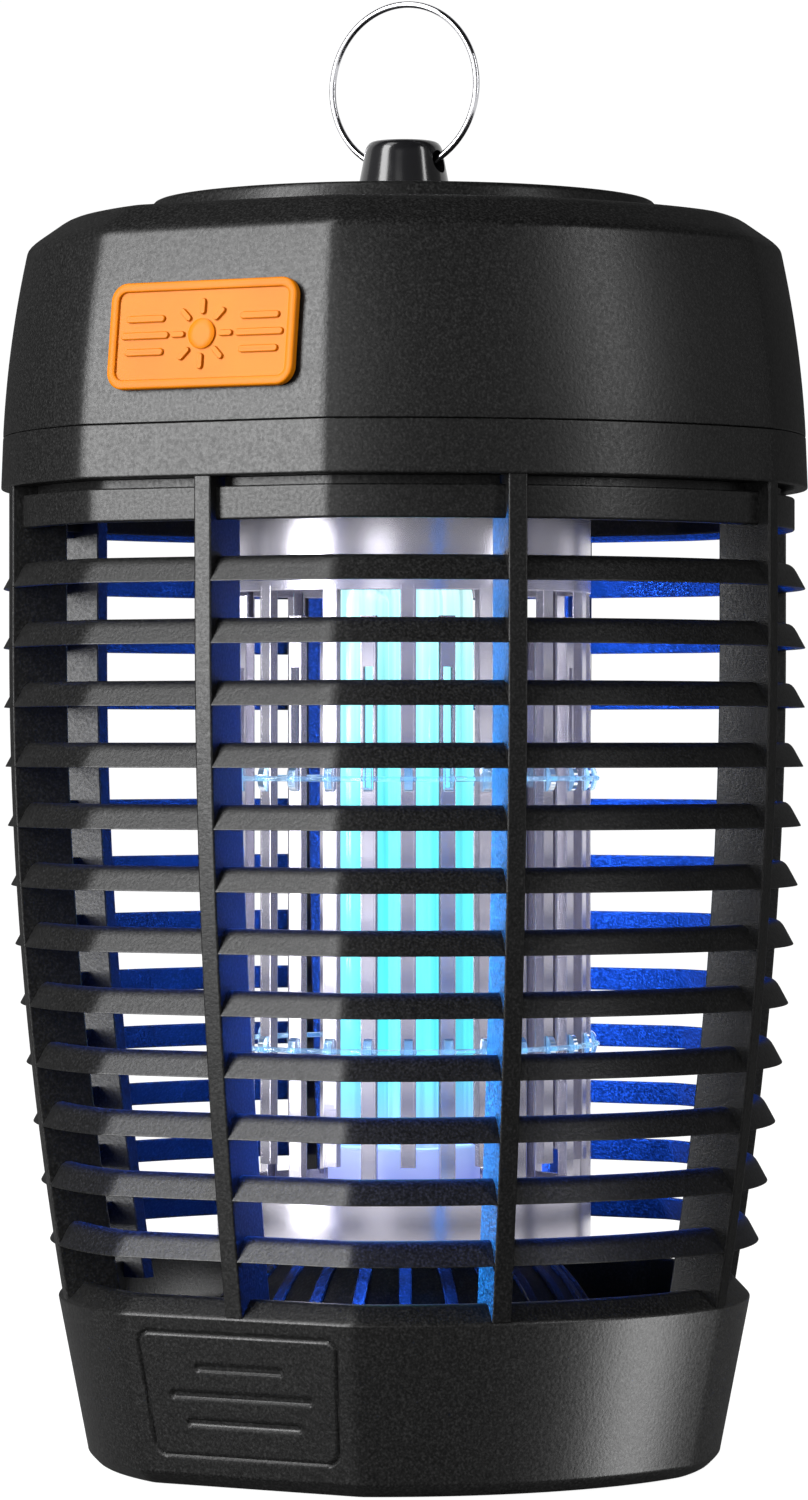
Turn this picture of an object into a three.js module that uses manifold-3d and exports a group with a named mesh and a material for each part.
// Electric bug zapper: a hood, a louvred cage, two interleaved electrode combs round an ultraviolet lamp,
// and a base with a pull-out insect tray. Millimetres, +Z up, resting face at z = 0, and the flat front
// facet faces -Y. In plan the body has a flat facet at the front and back, and two curved quarters on
// each side that meet in a soft ridge at +X and -X.
import * as THREE from 'three';
import { mergeVertices } from 'three/addons/utils/BufferGeometryUtils.js';
import Module from 'manifold-3d';

const wasm = await Module();
wasm.setup();

// ---------------------------------------------------------------- driving dimensions
const GAP = 0.3; // between pieces that touch
const WALL = 2.4; // moulded shells

const BASE_HEIGHT = 37; // resting face to the top of the inner lip
const BASE_CHAMFER_HEIGHT = 3.6;
const BASE_CHAMFER_WIDTH = 3.4;
const BASE_RIM_RADIUS = 69;
const BASE_FOOT_RADIUS = 63;
const BASE_LIP_WIDTH = 2.2;
const BASE_FOOT_ROUND = 2.5; // height of the rounded lower edge
const BASE_FLANGE_WIDTH = 4; // the flat ring that the object rests on
const LEDGE_HEIGHT = 25; // ledge that carries the floor grille
const LEDGE_THICKNESS = 2;
const LEDGE_OVERLAP = 2.5; // ledge bore beyond the flange bore

const CAGE_RADIUS = 80; // middle of a curved side, where the cage is straight
const CAGE_STRAIGHT_ABOVE = 162.8; // below this height the cage curves in towards the base
const CAGE_OVERHANG = 0.56; // cage foot beyond the base rim
const RIB_THICKNESS = 3.7;
const RIB_DEPTH = 11;
const RIB_COUNT = 8;
const LOUVRE_COUNT = 12;
const LOUVRE_PITCH = 11.76;
const LOUVRE_FIRST = 7.4; // lowest louvre's edge above the base lip
const LOUVRE_HEIGHT = 4.8;
const LOUVRE_LEAN = 2.6;
const LOUVRE_THICKNESS = 2.27; // measured level
const LOUVRE_ROUND = 1.5; // rounded upper outer edge
const COLLAR_RISE = 11.6; // top louvre's edge to the collar
const COLLAR_HEIGHT = 6.4;
const COLLAR_INSET = 2.2;
const COLLAR_WIDTH = 2.5;

const HOOD_REVEAL = 1.8; // dark joint between the collar and the hood
const HOOD_OVERHANG = 0.4;
const SKIRT_HEIGHT = 10.3;
const SKIRT_FLANGE_WIDTH = 16;
const SPIGOT_WIDTH = 2; // ring under the hood that plugs into the collar
const SPIGOT_HEIGHT = 7;
const COVER_SIDE_HEIGHT = 37.2;
const COVER_SIDE_DRAFT = 5; // how far the cover's side leans in
const COVER_CHAMFER_HEIGHT = 5.6;
const COVER_CHAMFER_WIDTH = 8;
const DISC_RADIUS = 51.2;
const DISC_HEIGHT = 4.1;

const KNOB_FOOT_RADIUS = 9.7;
const KNOB_TOP_RADIUS = 7.6;
const KNOB_HEIGHT = 12.1;
const RING_RADIUS = 16.4;
const RING_WIRE_RADIUS = 0.8;
const RING_HOLE_RADIUS = 2.3;
const RING_PIVOT_HEIGHT = 7.8; // above the knob's foot
const RING_HANG = 1.2; // the ring's lowest point below its pivot line

const GRID_RADIUS = 37;
const GRID_SHEET = 0.8;
const STRIP_COUNT = 15; // on each comb
const STRIP_WIDTH = 3;
const STRIP_FOLD_DEPTH = 2; // long edges folded in towards the lamp
const STRIP_FOLD_SHEET = 0.6;
const SLOT_WIDTH = 1.4; // in each strip of the lower comb
const SLOT_LENGTH = 23.8;
const SLOT_TOP = 10.2; // slot end below the strip's end
const STRIP_TURN = 6.8; // degrees from -Y to the first upper strip
const LOWER_BAND_BOTTOM = 8; // above the base lip
const LOWER_BAND_HEIGHT = 10.8;
const UPPER_BAND_DROP = 20.6; // hood underside to the upper band's lower edge
const STRIP_CLEARANCE = 5; // strip end to the other comb's band
const RETAINER_WIDTH = 1.5;
const RETAINER_HEIGHT = 1.1;
const RETAINER_LOW = 46.3; // above the base lip
const RETAINER_SPACING = 52.9;
const CLIP_WIDTH = 1.6; // clips that hold each strip
const CLIP_HEIGHT = 5;

const LAMP_TUBE_RADIUS = 5.5;
const LAMP_LEG_OFFSET = 6.15;
const LAMP_BASE_RADIUS = 15.2;
const LAMP_BASE_TOP = 25.8; // above the base lip
const LAMP_CLEARANCE = 11; // top of the bends to the hood underside
const SOCKET_HEIGHT = 14;
const PEDESTAL_TOP = 5; // above the base lip
const PEDESTAL_OVERHANG = 2.4; // pedestal foot beyond the grid
const FIN_COUNT = 24;
const FIN_THICKNESS = 2.4;
const FIN_RISE = 1.5; // fins stand this far off the dome's foot
const SPOKE_COUNT = 8;
const SPOKE_WIDTH = 3.2;

const TRAY_FLOOR_HEIGHT = 3;
const TRAY_CLEARANCE = 0.6;
const TRAY_WALL = 1.8;
const GRILLE_THICKNESS = 2.5;

const BOARD_LENGTH = 84;
const BOARD_WIDTH = 60;
const BOARD_THICKNESS = 1.6;
const STANDOFF_HEIGHT = 6;
const SCREW_SHANK_RADIUS = 1.5;
const SCREW_HEAD_RADIUS = 2.8;
const SCREW_HEAD_HEIGHT = 1.5;
const GLAND_RADIUS = 4.9;
const GLAND_BORE_RADIUS = 3.2;

const BADGE_WIDTH = 41;
const BADGE_HEIGHT = 20.5;
const BADGE_CORNER = 3.5;
const BADGE_THICKNESS = 1.4;
const BADGE_RISE = 16.1; // badge centre above the cover's lower edge

// ---------------------------------------------------------------- heights worked out from them
const RIM_Z = BASE_HEIGHT - BASE_CHAMFER_HEIGHT;
const firstLouvreZ = BASE_HEIGHT + LOUVRE_FIRST;
const topLouvreZ = firstLouvreZ + LOUVRE_PITCH * (LOUVRE_COUNT - 1);
const collarZ = topLouvreZ + COLLAR_RISE;
const hoodZ = collarZ + COLLAR_HEIGHT + HOOD_REVEAL;
const coverZ = hoodZ + SKIRT_HEIGHT + GAP;
const chamferZ = coverZ + COVER_SIDE_HEIGHT;
const shoulderZ = chamferZ + COVER_CHAMFER_HEIGHT;
const discZ = shoulderZ + DISC_HEIGHT;
const knobZ = discZ + GAP;
const pivotZ = knobZ + RING_PIVOT_HEIGHT;
const plateZ = hoodZ + WALL + GAP;
const boardZ = plateZ + WALL + GAP + STANDOFF_HEIGHT + GAP;

const lowerBandZ = BASE_HEIGHT + LOWER_BAND_BOTTOM;
const lowerBandTopZ = lowerBandZ + LOWER_BAND_HEIGHT;
const upperBandZ = hoodZ - UPPER_BAND_DROP;
const upperBandTopZ = plateZ - GAP;
const lampBaseTopZ = BASE_HEIGHT + LAMP_BASE_TOP;
const lampTopZ = hoodZ - LAMP_CLEARANCE;
const pedestalZ = LEDGE_HEIGHT + GAP + GRILLE_THICKNESS + GAP;
const pedestalTopZ = BASE_HEIGHT + PEDESTAL_TOP;

const hoodRadius = CAGE_RADIUS + HOOD_OVERHANG;
const coverTopRadius = CAGE_RADIUS - COVER_SIDE_DRAFT;
const shoulderRadius = coverTopRadius - COVER_CHAMFER_WIDTH;
const lipRadius = BASE_RIM_RADIUS - BASE_CHAMFER_WIDTH;
const flangeRadius = BASE_FOOT_RADIUS - 2 - BASE_FLANGE_WIDTH;
const trayRadius = flangeRadius - TRAY_CLEARANCE;

// ---------------------------------------------------------------- the plan shape
const CORNER_FULLNESS = 0.0274; // corners and ridges stand this share outside a curved side's middle
const FACET_HALF_ANGLE_HOOD = 19.5;
const FACET_HALF_ANGLE_FOOT = 21.9;
const ARC_STEPS = 6;
const radians = THREE.MathUtils.degToRad;

function facetHalfAngle(z) {
  const share = THREE.MathUtils.clamp(z / hoodZ, 0, 1);
  return radians(THREE.MathUtils.lerp(FACET_HALF_ANGLE_FOOT, FACET_HALF_ANGLE_HOOD, share));
}

// Distance from the axis at a polar angle from -Y, for a level section whose curved sides have radius r.
function planRadius(r, z, angle) {
  const half = facetHalfAngle(z);
  const folded = Math.acos(Math.abs(Math.cos(angle)));
  if (folded <= half) return (r * (1 + CORNER_FULLNESS) * Math.cos(half)) / Math.cos(folded);
  const middle = (half + Math.PI / 2) / 2;
  const u = (folded - middle) / (Math.PI / 2 - middle);
  return r * (1 + CORNER_FULLNESS * u * u);
}

// Polar angles of a section's corners: facet, curved quarter, ridge, curved quarter, and the same again.
function planAngles(z) {
  const half = facetHalfAngle(z);
  const quarter = Array.from({ length: ARC_STEPS + 1 }, (_, i) =>
    THREE.MathUtils.lerp(half, Math.PI / 2, i / ARC_STEPS));
  const right = [...quarter, ...quarter.slice(0, -1).reverse().map((a) => Math.PI - a)];
  return [...right, ...right.map((a) => a + Math.PI)];
}

// The same, on the straight-sided section that joins those corners.
function sectionRadius(r, z, angle) {
  const turn = 2 * Math.PI;
  const corners = planAngles(z).map((a) => (a + turn) % turn).sort((a, b) => a - b);
  const where = (angle + turn) % turn;
  const next = corners.findIndex((a) => a > where);
  const high = next < 0 ? corners[0] + turn : corners[next];
  const low = next > 0 ? corners[next - 1] : corners.at(-1) - (next < 0 ? 0 : turn);
  const [r0, r1] = [planRadius(r, z, low), planRadius(r, z, high)];
  return (r0 * r1 * Math.sin(high - low)) / (r0 * Math.sin(where - low) + r1 * Math.sin(high - where));
}

// Its reach along a slice's middle line, at the slice's two faces and its middle.
function sliceRadii(r, z, angle, thickness) {
  const half = Math.asin(thickness / 2 / r);
  return [-half, 0, half].map((side) => sectionRadius(r, z, angle + side) * Math.cos(side));
}

// ---------------------------------------------------------------- making and joining solids
function cleaned(geometry) {
  const bare = geometry.clone();
  for (const name of Object.keys(bare.attributes)) {
    if (name !== 'position') bare.deleteAttribute(name);
  }
  const merged = mergeVertices(bare, 1e-4);
  const index = merged.index.array;
  const kept = [];
  for (let i = 0; i < index.length; i += 3) {
    const [a, b, c] = [index[i], index[i + 1], index[i + 2]];
    if (a !== b && b !== c && c !== a) kept.push(a, b, c);
  }
  merged.setIndex(kept);
  return merged;
}

function solid(geometry) {
  const g = cleaned(geometry);
  return new wasm.Manifold(new wasm.Mesh({
    numProp: 3,
    vertProperties: new Float32Array(g.attributes.position.array),
    triVerts: new Uint32Array(g.index.array),
  }));
}

function geometryOf(body) {
  const mesh = body.getMesh();
  const geometry = new THREE.BufferGeometry();
  geometry.setAttribute('position', new THREE.BufferAttribute(new Float32Array(mesh.vertProperties), 3));
  geometry.setIndex(Array.from(mesh.triVerts));
  return geometry;
}

const join = (first, ...others) => geometryOf(others.reduce((s, g) => s.add(solid(g)), solid(first)));
const cut = (first, ...tools) => geometryOf(tools.reduce((s, g) => s.subtract(solid(g)), solid(first)));

// A closed profile of [radius, height] carried round the plan shape.
function planSolid(profile) {
  const area = profile.reduce((sum, [r, z], i) => {
    const [r2, z2] = profile[(i + 1) % profile.length];
    return sum + r * z2 - r2 * z;
  }, 0);
  const loop = area > 0 ? profile : [...profile].reverse();
  const rows = loop.map(([r, z]) => planAngles(z).map((angle) => {
    const distance = planRadius(r, z, angle);
    return [distance * Math.sin(angle), -distance * Math.cos(angle), z];
  }));
  const around = rows[0].length;
  const index = [];
  for (let i = 0; i < rows.length; i += 1) {
    const next = (i + 1) % rows.length;
    for (let j = 0; j < around; j += 1) {
      const k = (j + 1) % around;
      index.push(i * around + j, i * around + k, next * around + j);
      index.push(i * around + k, next * around + k, next * around + j);
    }
  }
  const geometry = new THREE.BufferGeometry();
  geometry.setAttribute('position', new THREE.Float32BufferAttribute(rows.flat(2), 3));
  geometry.setIndex(index);
  return cleaned(geometry);
}

// A closed profile of [radius, height], anticlockwise, turned about the Z axis.
function turned(profile, segments = 36) {
  const points = [...profile, profile[0]].map(([r, z]) => new THREE.Vector2(r, z));
  return cleaned(new THREE.LatheGeometry(points, segments).rotateX(Math.PI / 2));
}

const tube = (inner, outer, low, high, segments) =>
  turned([[inner, low], [outer, low], [outer, high], [inner, high]], segments);
const rod = (radius, low, high, segments = 24) =>
  turned([[0, low], [radius, low], [radius, high], [0, high]], segments);

function box(width, depth, low, high) {
  return new THREE.BoxGeometry(width, depth, high - low).translate(0, 0, (low + high) / 2);
}

// Moves a piece that points along +X out to a radius and round to a polar angle from -Y.
const placed = (geometry, radius, angle) =>
  geometry.clone().translate(radius, 0, 0).rotateZ(angle - Math.PI / 2);

// An upright slice: an outline of [radius, height], of the given thickness, standing at a polar angle.
function radialSlice(outline, thickness, angle, window = null) {
  const shape = new THREE.Shape(outline.map(([r, z]) => new THREE.Vector2(r, z)));
  if (window) shape.holes.push(new THREE.Path(window.map(([r, z]) => new THREE.Vector2(r, z))));
  const slice = new THREE.ExtrudeGeometry(shape, { depth: thickness, bevelEnabled: false });
  return slice.translate(0, 0, -thickness / 2).rotateX(Math.PI / 2).rotateZ(angle - Math.PI / 2);
}

// ---------------------------------------------------------------- the assembly
const zapper = new THREE.Group();
const finishes = {
  black_plastic: { color: 0x2c2c2e, roughness: 0.55, metalness: 0 },
  gloss_black: { color: 0x151517, roughness: 0.2, metalness: 0 },
  grid_steel: { color: 0xb4b4bc, roughness: 0.3, metalness: 1 },
  bright_steel: { color: 0xd0d2d4, roughness: 0.12, metalness: 1 },
  lamp_glass: { color: 0x6fe6ff, roughness: 0.15, metalness: 0 },
  white_plastic: { color: 0xe4e6ee, roughness: 0.4, metalness: 0 },
  clear_plastic: { color: 0xa8d0ff, roughness: 0.1, metalness: 0 },
  badge_orange: { color: 0xf0911e, roughness: 0.4, metalness: 0 },
  board_green: { color: 0x1e6b3a, roughness: 0.5, metalness: 0 },
  copper: { color: 0xb8642c, roughness: 0.35, metalness: 1 },
};
const materials = Object.fromEntries(Object.entries(finishes).map(
  ([name, values]) => [name, new THREE.MeshStandardMaterial(values)]));

function add(name, geometry, finish, parent = zapper) {
  const mesh = new THREE.Mesh(geometry, materials[finish]);
  mesh.name = name;
  parent.add(mesh);
  return mesh;
}

// ---------------------------------------------------------------- cage
function cageRadius(z) {
  const below = Math.max(0, CAGE_STRAIGHT_ABOVE - z) / (CAGE_STRAIGHT_ABOVE - BASE_HEIGHT);
  return CAGE_RADIUS - (CAGE_RADIUS - BASE_RIM_RADIUS - CAGE_OVERHANG) * below * below;
}

const louvreZ = Array.from({ length: LOUVRE_COUNT }, (_, k) => firstLouvreZ + LOUVRE_PITCH * k);

// A louvre's section: its outer face rises and leans in from the lower edge.
function louvreCorners(z) {
  const edge = cageRadius(z);
  return [
    [edge - LOUVRE_THICKNESS, z],
    [edge, z],
    [edge - LOUVRE_LEAN, z + LOUVRE_HEIGHT],
    [edge - LOUVRE_LEAN - LOUVRE_THICKNESS, z + LOUVRE_HEIGHT],
  ];
}

// The same, with two chords in place of the upper outer corner.
function louvreSection(z) {
  const [innerFoot, outerFoot, [r, top], innerTop] = louvreCorners(z);
  const along = LOUVRE_ROUND / Math.hypot(LOUVRE_LEAN, LOUVRE_HEIGHT);
  return [
    innerFoot,
    outerFoot,
    [r + LOUVRE_LEAN * along, top - LOUVRE_HEIGHT * along],
    [r - 0.25 * LOUVRE_ROUND + 0.25 * LOUVRE_LEAN * along, top - 0.25 * LOUVRE_HEIGHT * along],
    [r - LOUVRE_ROUND, top],
    innerTop,
  ];
}

const collarOuter = CAGE_RADIUS - COLLAR_INSET;
const collarInner = collarOuter - COLLAR_WIDTH;

function ribOutline(angle) {
  const nearest = (r, z) => Math.min(...sliceRadii(r, z, angle, RIB_THICKNESS));
  const furthest = (r, z) => Math.max(...sliceRadii(r, z, angle, RIB_THICKNESS));
  const outer = (z) => furthest(cageRadius(z), z);
  const outline = [[outer(hoodZ - GAP), hoodZ - GAP]];
  for (const z of [...louvreZ].reverse()) {
    const [innerFoot, , outerTop, innerTop] = louvreCorners(z);
    const opening = z + (GAP * Math.hypot(LOUVRE_HEIGHT, LOUVRE_LEAN)) / LOUVRE_LEAN;
    outline.push([outer(opening), opening]);
    outline.push([furthest(...outerTop) + GAP / 2, z + LOUVRE_HEIGHT + GAP]);
    outline.push([nearest(...innerTop) - GAP, z + LOUVRE_HEIGHT + GAP]);
    outline.push([nearest(...innerFoot) - GAP, z - GAP]);
    outline.push([outer(z - GAP), z - GAP]);
  }
  const seat = GAP * Math.SQRT2;
  const lipInner = nearest(lipRadius - BASE_LIP_WIDTH, BASE_HEIGHT) - GAP;
  outline.push([furthest(BASE_RIM_RADIUS, RIM_Z), RIM_Z + seat]);
  outline.push([furthest(lipRadius, BASE_HEIGHT) + GAP / 2, BASE_HEIGHT + GAP]);
  outline.push([lipInner, BASE_HEIGHT + GAP]);
  outline.push([lipInner, pedestalZ]);
  outline.push([outer(BASE_HEIGHT) - RIB_DEPTH, pedestalZ]);
  for (const z of [BASE_HEIGHT, ...louvreZ]) outline.push([outer(z) - RIB_DEPTH, z]);
  outline.push([outer(hoodZ) - RIB_DEPTH, hoodZ - GAP]);
  return outline.reverse();
}

function collarWindow(angle) {
  const inner = Math.min(...sliceRadii(collarInner, collarZ, angle, RIB_THICKNESS)) - GAP;
  const outer = Math.max(...sliceRadii(collarOuter, collarZ, angle, RIB_THICKNESS)) + GAP;
  const low = collarZ - GAP;
  const high = collarZ + COLLAR_HEIGHT + GAP;
  return [[inner, low], [inner, high], [outer, high], [outer, low]];
}

louvreZ.forEach((z, k) => add(`louvre_${k + 1}`, planSolid(louvreSection(z)), 'black_plastic'));
for (let i = 0; i < RIB_COUNT; i += 1) {
  const angle = (i * 2 * Math.PI) / RIB_COUNT;
  const rib = radialSlice(ribOutline(angle), RIB_THICKNESS, angle, collarWindow(angle));
  add(`cage_rib_${i + 1}`, rib, 'black_plastic');
}
const collarTopZ = collarZ + COLLAR_HEIGHT;
add('cage_collar', planSolid([
  [collarInner, collarZ],
  [collarOuter, collarZ],
  [collarOuter, collarTopZ],
  [collarInner, collarTopZ],
]), 'black_plastic');

// ---------------------------------------------------------------- base
const ledgeRadius = flangeRadius + LEDGE_OVERLAP;
add('base_housing', planSolid([
  [flangeRadius, 0],
  [BASE_FOOT_RADIUS - 2, 0],
  [BASE_FOOT_RADIUS - 0.5, 0.8],
  [BASE_FOOT_RADIUS, BASE_FOOT_ROUND],
  [BASE_RIM_RADIUS, RIM_Z],
  [lipRadius, BASE_HEIGHT],
  [lipRadius - BASE_LIP_WIDTH, BASE_HEIGHT],
  [lipRadius - BASE_LIP_WIDTH, RIM_Z],
  [BASE_RIM_RADIUS - WALL - 1.6, LEDGE_HEIGHT],
  [ledgeRadius, LEDGE_HEIGHT],
  [ledgeRadius, LEDGE_HEIGHT - LEDGE_THICKNESS],
  [BASE_RIM_RADIUS - WALL - 2.2, LEDGE_HEIGHT - LEDGE_THICKNESS],
  [BASE_FOOT_RADIUS - WALL, BASE_FOOT_ROUND + 2],
  [BASE_FOOT_RADIUS - WALL, WALL],
  [flangeRadius, WALL],
]), 'black_plastic');

const grilleZ = LEDGE_HEIGHT + GAP;
const grilleTopZ = grilleZ + GRILLE_THICKNESS;
const grilleRadius = lipRadius - BASE_LIP_WIDTH - GAP;
const pedestalRadius = GRID_RADIUS + PEDESTAL_OVERHANG;
const grilleHubRadius = pedestalRadius - 6;
const spokeLength = grilleRadius * 0.955 - grilleHubRadius - 1;
const spokes = Array.from({ length: SPOKE_COUNT }, (_, i) => placed(
  box(spokeLength, SPOKE_WIDTH, grilleZ, grilleTopZ),
  grilleHubRadius + 1 + spokeLength / 2,
  (i * 2 * Math.PI) / SPOKE_COUNT));
add('floor_grille', join(
  planSolid([
    [ledgeRadius + 0.5, grilleZ],
    [grilleRadius, grilleZ],
    [grilleRadius, grilleTopZ],
    [ledgeRadius + 0.5, grilleTopZ],
  ]),
  ...spokes,
  tube(LAMP_BASE_RADIUS + 3, grilleHubRadius + 3, grilleZ, grilleTopZ, 24)), 'black_plastic');

// The lamp's pedestal is a low dome: shares of its radius and of its rise, from the foot to the shoulder.
const domeCurve = [[1, 0], [0.95, 0.27], [0.89, 0.55], [0.81, 0.82], [0.74, 1]];
const socketHoleRadius = LAMP_BASE_RADIUS + 1;
const domeRise = (share) => THREE.MathUtils.lerp(pedestalZ, pedestalTopZ, share);
const finTop = domeCurve.map(([share, rise]) => [pedestalRadius * share, domeRise(rise)]);
const finOutline = [
  ...finTop,
  ...[...finTop].reverse().map(([r, z]) => [r - 2 * FIN_RISE, Math.max(z - 2 * FIN_RISE, pedestalZ)]),
];
finOutline.pop();
const dome = turned([
  [socketHoleRadius, pedestalZ],
  ...domeCurve.map(([share, rise]) => [(pedestalRadius - FIN_RISE) * share, domeRise(rise) - 0.4 * FIN_RISE * rise]),
  [socketHoleRadius, pedestalTopZ - 0.4 * FIN_RISE],
], 48);
const fins = Array.from({ length: FIN_COUNT }, (_, i) =>
  radialSlice(finOutline, FIN_THICKNESS, (i * 2 * Math.PI) / FIN_COUNT));
add('lamp_pedestal', join(dome, ...fins), 'black_plastic');

// The tray lifts the insects out: a cup with a grip bar under its floor.
const trayTopZ = LEDGE_HEIGHT - LEDGE_THICKNESS - 1.5;
const trayCup = planSolid([
  [0, TRAY_FLOOR_HEIGHT],
  [trayRadius - 1, TRAY_FLOOR_HEIGHT],
  [trayRadius, TRAY_FLOOR_HEIGHT + 1],
  [trayRadius, trayTopZ],
  [trayRadius - TRAY_WALL, trayTopZ],
  [trayRadius - TRAY_WALL, TRAY_FLOOR_HEIGHT + TRAY_WALL],
  [0, TRAY_FLOOR_HEIGHT + TRAY_WALL],
]);
const grip = box(50, 7, 0.8, TRAY_FLOOR_HEIGHT + 0.5);
add('insect_tray', join(trayCup, grip), 'black_plastic');

// ---------------------------------------------------------------- electrodes
const gridInner = GRID_RADIUS - GRID_SHEET / 2;
const gridOuter = GRID_RADIUS + GRID_SHEET / 2;

// A band, and strips across it whose free length has both long edges folded in.
function comb(bandLow, bandHigh, stripLow, stripHigh, turn) {
  const [foldLow, foldHigh] = stripLow < bandLow ? [stripLow, bandLow] : [bandHigh, stripHigh];
  const foldRadius = gridOuter - STRIP_FOLD_DEPTH / 2;
  const foldOffset = (STRIP_WIDTH - STRIP_FOLD_SHEET) / 2;
  const strips = Array.from({ length: STRIP_COUNT }, (_, i) => {
    const angle = radians(turn + (i * 360) / STRIP_COUNT);
    const face = placed(box(GRID_SHEET, STRIP_WIDTH, stripLow, stripHigh), GRID_RADIUS, angle);
    const folds = [-1, 1].map((side) => placed(
      box(STRIP_FOLD_DEPTH, STRIP_FOLD_SHEET, foldLow, foldHigh).translate(0, side * foldOffset, 0),
      foldRadius,
      angle));
    return [face, ...folds];
  }).flat();
  return join(tube(gridInner, gridOuter, bandLow, bandHigh, 3 * STRIP_COUNT), ...strips);
}

const halfStep = 180 / STRIP_COUNT;
const lowerStripTop = upperBandZ - STRIP_CLEARANCE;
const slots = Array.from({ length: STRIP_COUNT }, (_, i) => placed(
  box(2, SLOT_WIDTH, lowerStripTop - SLOT_TOP - SLOT_LENGTH, lowerStripTop - SLOT_TOP),
  GRID_RADIUS,
  radians(STRIP_TURN + halfStep + (i * 360) / STRIP_COUNT)));
add('lower_electrode', cut(comb(
  lowerBandZ, lowerBandTopZ, lowerBandZ + 1, lowerStripTop, STRIP_TURN + halfStep), ...slots), 'grid_steel');
add('upper_electrode', comb(
  upperBandZ, upperBandTopZ, lowerBandTopZ + STRIP_CLEARANCE, upperBandTopZ - 1, STRIP_TURN), 'grid_steel');

const retainerInner = Math.hypot(gridOuter, STRIP_WIDTH / 2) + GAP;
['lower', 'upper'].forEach((place, i) => {
  const middle = BASE_HEIGHT + RETAINER_LOW + RETAINER_SPACING * i;
  const ring = tube(
    retainerInner, retainerInner + RETAINER_WIDTH, middle - RETAINER_HEIGHT / 2, middle + RETAINER_HEIGHT / 2, 60);
  const clips = Array.from({ length: 2 * STRIP_COUNT }, (_, k) => placed(
    box(RETAINER_WIDTH - 0.2, CLIP_WIDTH, middle - CLIP_HEIGHT / 2, middle + CLIP_HEIGHT / 2),
    retainerInner + RETAINER_WIDTH / 2,
    radians(STRIP_TURN + k * halfStep)));
  add(`${place}_retainer_ring`, join(ring, ...clips), 'clear_plastic');
});

// Three insulating arms on the pedestal carry the lower band.
for (let i = 0; i < 3; i += 1) {
  const inner = pedestalRadius * 0.74 - 5;
  const outer = gridOuter + 1.2;
  const arm = box(outer - inner, 5, pedestalTopZ + GAP, lowerBandZ - GAP);
  add(`electrode_stand_${i + 1}`, placed(arm, (inner + outer) / 2, radians(75 + 120 * i)), 'white_plastic');
}

// ---------------------------------------------------------------- lamp
function lampTube(y) {
  const bendZ = lampTopZ - LAMP_LEG_OFFSET - LAMP_TUBE_RADIUS;
  const foot = lampBaseTopZ + GAP;
  const legs = [-1, 1].map((side) =>
    rod(LAMP_TUBE_RADIUS, foot, bendZ + 0.01, 12).translate(side * LAMP_LEG_OFFSET, y, 0));
  const hoop = new THREE.TorusGeometry(LAMP_LEG_OFFSET, LAMP_TUBE_RADIUS, 12, 16).rotateX(Math.PI / 2);
  const keep = box(60, 60, 0, 40);
  const bend = geometryOf(solid(hoop).intersect(solid(keep))).translate(0, y, bendZ);
  return join(legs[0], legs[1], bend);
}
add('lamp_tube_front', lampTube(-LAMP_LEG_OFFSET), 'lamp_glass');
add('lamp_tube_rear', lampTube(LAMP_LEG_OFFSET), 'lamp_glass');
const socketTopZ = pedestalZ + SOCKET_HEIGHT;
add('lamp_base', rod(LAMP_BASE_RADIUS, socketTopZ + GAP, lampBaseTopZ, 32), 'white_plastic');
add('lamp_socket', join(
  rod(LAMP_BASE_RADIUS, pedestalZ - GRILLE_THICKNESS, socketTopZ, 32),
  rod(LAMP_BASE_RADIUS - 4, LEDGE_HEIGHT + GAP, pedestalZ, 24)), 'white_plastic');

// ---------------------------------------------------------------- hood
const screwRadius = CAGE_RADIUS - 10;
const screwAngles = [22.5, 157.5, 202.5, 337.5].map(radians);
const screwHoles = screwAngles.map((a) => placed(rod(SCREW_SHANK_RADIUS + GAP, hoodZ - 5, boardZ, 12), screwRadius, a));
const spigotOuter = collarInner - GAP;
const spigotInner = spigotOuter - SPIGOT_WIDTH;
const spigotZ = hoodZ - SPIGOT_HEIGHT;
const skirt = planSolid([
  [hoodRadius - SKIRT_FLANGE_WIDTH, hoodZ],
  [spigotInner, hoodZ],
  [spigotInner, spigotZ],
  [spigotOuter, spigotZ],
  [spigotOuter, hoodZ],
  [hoodRadius, hoodZ],
  [CAGE_RADIUS, hoodZ + SKIRT_HEIGHT],
  [CAGE_RADIUS - WALL, hoodZ + SKIRT_HEIGHT],
  [CAGE_RADIUS - WALL, hoodZ + WALL],
  [hoodRadius - SKIRT_FLANGE_WIDTH, hoodZ + WALL],
]);
// Each rib passes through a notch in the spigot.
const ribNotches = Array.from({ length: RIB_COUNT }, (_, i) => placed(
  box(RIB_DEPTH + 4, RIB_THICKNESS + 2 * GAP, spigotZ - 1, hoodZ),
  (spigotInner + spigotOuter) / 2,
  (i * 2 * Math.PI) / RIB_COUNT));
add('hood_skirt', cut(skirt, ...ribNotches, ...screwHoles), 'black_plastic');

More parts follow.
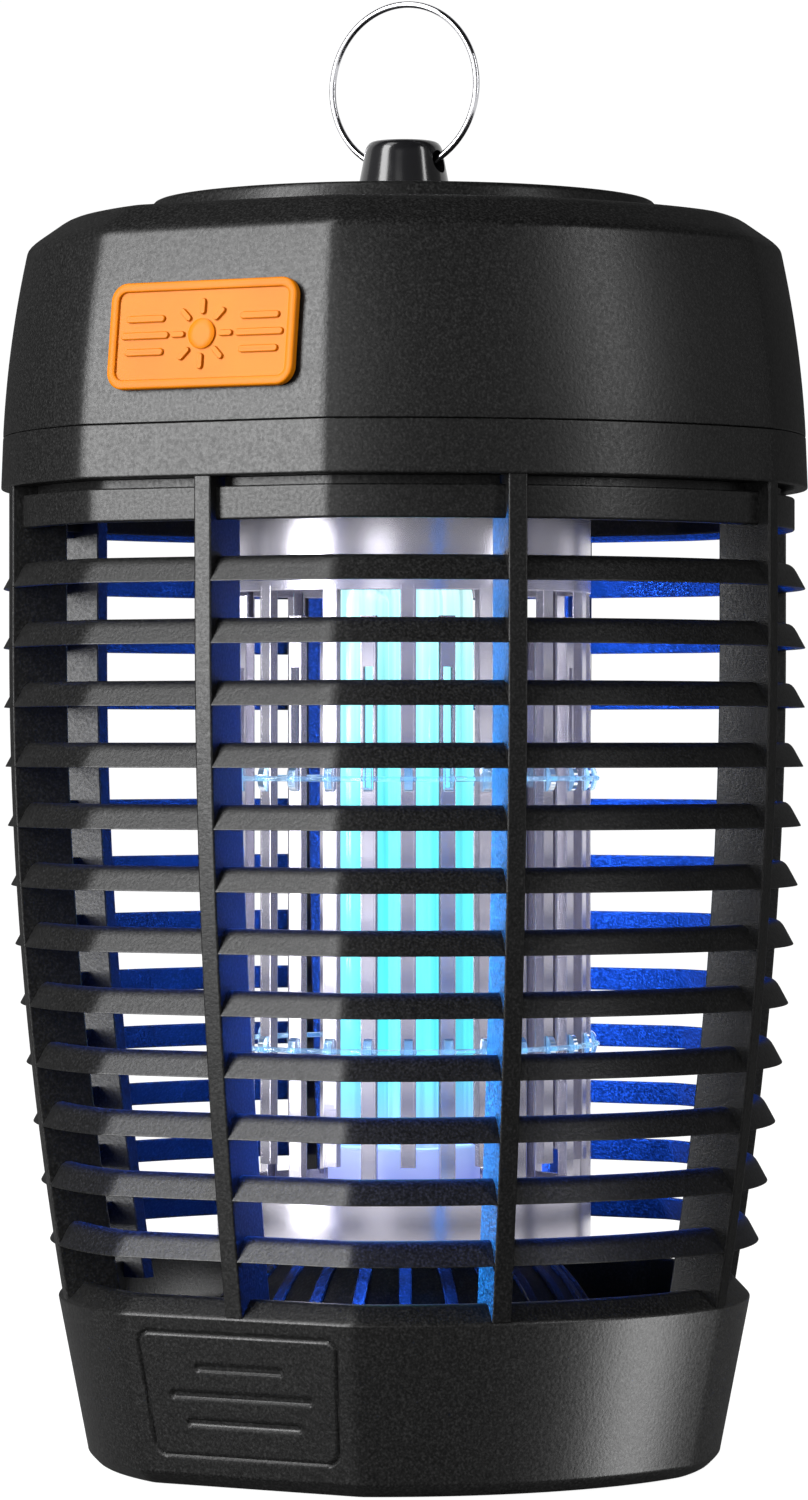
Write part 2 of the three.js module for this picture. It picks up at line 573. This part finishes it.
const plate = planSolid([
  [0, plateZ],
  [CAGE_RADIUS - WALL - 2, plateZ],
  [CAGE_RADIUS - WALL - 2, plateZ + WALL],
  [0, plateZ + WALL],
]);
const boss = rod(gridInner - GAP, hoodZ - 5.6, plateZ + 1, 36);
add('ceiling_plate', cut(join(plate, boss), ...screwHoles), 'white_plastic');
screwAngles.forEach((angle, i) => {
  const head = rod(SCREW_HEAD_RADIUS, hoodZ - GAP - SCREW_HEAD_HEIGHT, hoodZ - GAP, 16);
  const shank = rod(SCREW_SHANK_RADIUS, hoodZ - GAP - 0.5, plateZ + WALL + 1.5, 12);
  add(`hood_screw_${i + 1}`, placed(join(head, shank), screwRadius, angle), 'bright_steel');
});

// The cover's side is nearly upright at its foot and leans in more towards its top edge.
const coverSide = [0, 0.25, 0.5, 0.75, 1].map((share) => [
  CAGE_RADIUS - COVER_SIDE_DRAFT * (0.35 * share + 0.65 * share * share),
  coverZ + COVER_SIDE_HEIGHT * share,
]);
const coverShell = planSolid([
  ...coverSide,
  [shoulderRadius, shoulderZ],
  [0, shoulderZ],
  [0, shoulderZ - WALL],
  [shoulderRadius - 2, shoulderZ - WALL],
  [coverTopRadius - WALL - 0.6, chamferZ - 1.5],
  ...coverSide.slice(0, -1).filter((_, i) => i % 2 === 0).reverse().map(([r, z]) => [r - WALL, z]),
]);
const topDisc = turned([[0, shoulderZ - 1], [DISC_RADIUS, shoulderZ - 1], [DISC_RADIUS - 1.2, discZ], [0, discZ]], 48);
const glandZ = coverZ + 10;
const rearFace = planRadius(CAGE_RADIUS, glandZ, Math.PI);
const glandAlongY = (geometry) => geometry.rotateX(-Math.PI / 2).translate(0, 0, glandZ);
const screwHole = rod(SCREW_SHANK_RADIUS + 2 * GAP, shoulderZ - 10, discZ + 10, 16);
const cordHole = glandAlongY(rod(GLAND_RADIUS + GAP, rearFace - 15, rearFace + 15, 20));
add('hood_cover', cut(join(coverShell, topDisc), screwHole, cordHole), 'black_plastic');
add('cord_gland', glandAlongY(turned([
  [GLAND_BORE_RADIUS, rearFace - 9],
  [GLAND_RADIUS, rearFace - 9],
  [GLAND_RADIUS, rearFace - GAP],
  [GLAND_RADIUS + 1.8, rearFace + GAP / 2],
  [GLAND_RADIUS + 1.2, rearFace + 0.7],
  [GLAND_BORE_RADIUS, rearFace + 0.7],
], 20)), 'black_plastic');

// ---------------------------------------------------------------- hanger
const knobTopZ = knobZ + KNOB_HEIGHT;
const ringHole = rod(RING_HOLE_RADIUS, -20, 20, 20).rotateY(Math.PI / 2).translate(0, 0, pivotZ);
const hangerShankTop = pivotZ - RING_HOLE_RADIUS - 1.2;
const shankHole = rod(SCREW_SHANK_RADIUS + GAP, knobZ - 1, hangerShankTop + GAP, 16);
add('hanger_knob', cut(turned([
  [0, knobZ],
  [KNOB_FOOT_RADIUS, knobZ],
  [KNOB_TOP_RADIUS, knobTopZ - 1.2],
  [KNOB_TOP_RADIUS - 1.2, knobTopZ],
  [0, knobTopZ],
]), ringHole, shankHole), 'gloss_black');
const hangerHeadTop = shoulderZ - WALL - GAP;
add('hanger_screw', join(
  rod(SCREW_HEAD_RADIUS + 0.8, hangerHeadTop - 2, hangerHeadTop, 16),
  rod(SCREW_SHANK_RADIUS, hangerHeadTop - 1, hangerShankTop, 12)), 'bright_steel');
const ringCentreZ = pivotZ - RING_HANG + RING_RADIUS;
add('hanging_ring', cleaned(new THREE.TorusGeometry(RING_RADIUS, RING_WIRE_RADIUS, 6, 40)
  .rotateX(Math.PI / 2).translate(0, 0, ringCentreZ)), 'bright_steel');

// ---------------------------------------------------------------- badge
function roundedRectangle(width, height, corner) {
  const shape = new THREE.Shape();
  const [x, y] = [width / 2, height / 2];
  shape.moveTo(-x + corner, -y);
  shape.lineTo(x - corner, -y);
  shape.absarc(x - corner, -y + corner, corner, -Math.PI / 2, 0);
  shape.lineTo(x, y - corner);
  shape.absarc(x - corner, y - corner, corner, 0, Math.PI / 2);
  shape.lineTo(-x + corner, y);
  shape.absarc(-x + corner, y - corner, corner, Math.PI / 2, Math.PI);
  shape.lineTo(-x, -y + corner);
  shape.absarc(-x + corner, -y + corner, corner, Math.PI, 1.5 * Math.PI);
  return shape;
}

const badgeZ = coverZ + BADGE_RISE;
const badgeShare = BADGE_RISE / COVER_SIDE_HEIGHT;
const lean = Math.atan((COVER_SIDE_DRAFT * (0.35 + 1.3 * badgeShare)) / COVER_SIDE_HEIGHT);
const badgeSide = CAGE_RADIUS - COVER_SIDE_DRAFT * (0.35 * badgeShare + 0.65 * badgeShare * badgeShare);
const badgeFace = planRadius(badgeSide, badgeZ, 0) + GAP + 0.1;
const plaque = new THREE.ExtrudeGeometry(roundedRectangle(BADGE_WIDTH, BADGE_HEIGHT, BADGE_CORNER), {
  depth: BADGE_THICKNESS, bevelEnabled: false, curveSegments: 5,
});
add('badge', cleaned(plaque.rotateX(Math.PI / 2 - lean).translate(0, -badgeFace, badgeZ)), 'badge_orange');

// ---------------------------------------------------------------- power supply, on the ceiling plate
const boardTopZ = boardZ + BOARD_THICKNESS;
add('circuit_board', box(BOARD_LENGTH, BOARD_WIDTH, boardZ, boardTopZ), 'board_green');
const standoffZ = plateZ + WALL + GAP;
[[1, 1], [-1, 1], [-1, -1], [1, -1]].forEach(([sx, sy], i) => {
  const post = rod(3, standoffZ, standoffZ + STANDOFF_HEIGHT, 6);
  add(`board_standoff_${i + 1}`, post.translate(sx * (BOARD_LENGTH / 2 - 5), sy * (BOARD_WIDTH / 2 - 5), 0),
    'white_plastic');
});
const partZ = boardTopZ + GAP;
const chokeX = -20;
const coilRadius = 10;
add('choke_core', join(
  box(28, 24, partZ, partZ + 4),
  box(28, 24, partZ + 18, partZ + 22),
  rod(5, partZ + 1, partZ + 20, 20)).translate(chokeX, 0, 0), 'grid_steel');
add('choke_coil', tube(5 + GAP, coilRadius, partZ + 4 + GAP, partZ + 18 - GAP, 28).translate(chokeX, 0, 0), 'copper');
[[10, 16], [10, -2], [10, -19]].forEach(([x, y], i) => {
  add(`storage_capacitor_${i + 1}`, rod(6, partZ, partZ + 20, 20).translate(x, y, 0), 'gloss_black');
});
add('terminal_block', box(12, 30, partZ, partZ + 10).translate(32, 0, 0), 'white_plastic');

export default zapper;
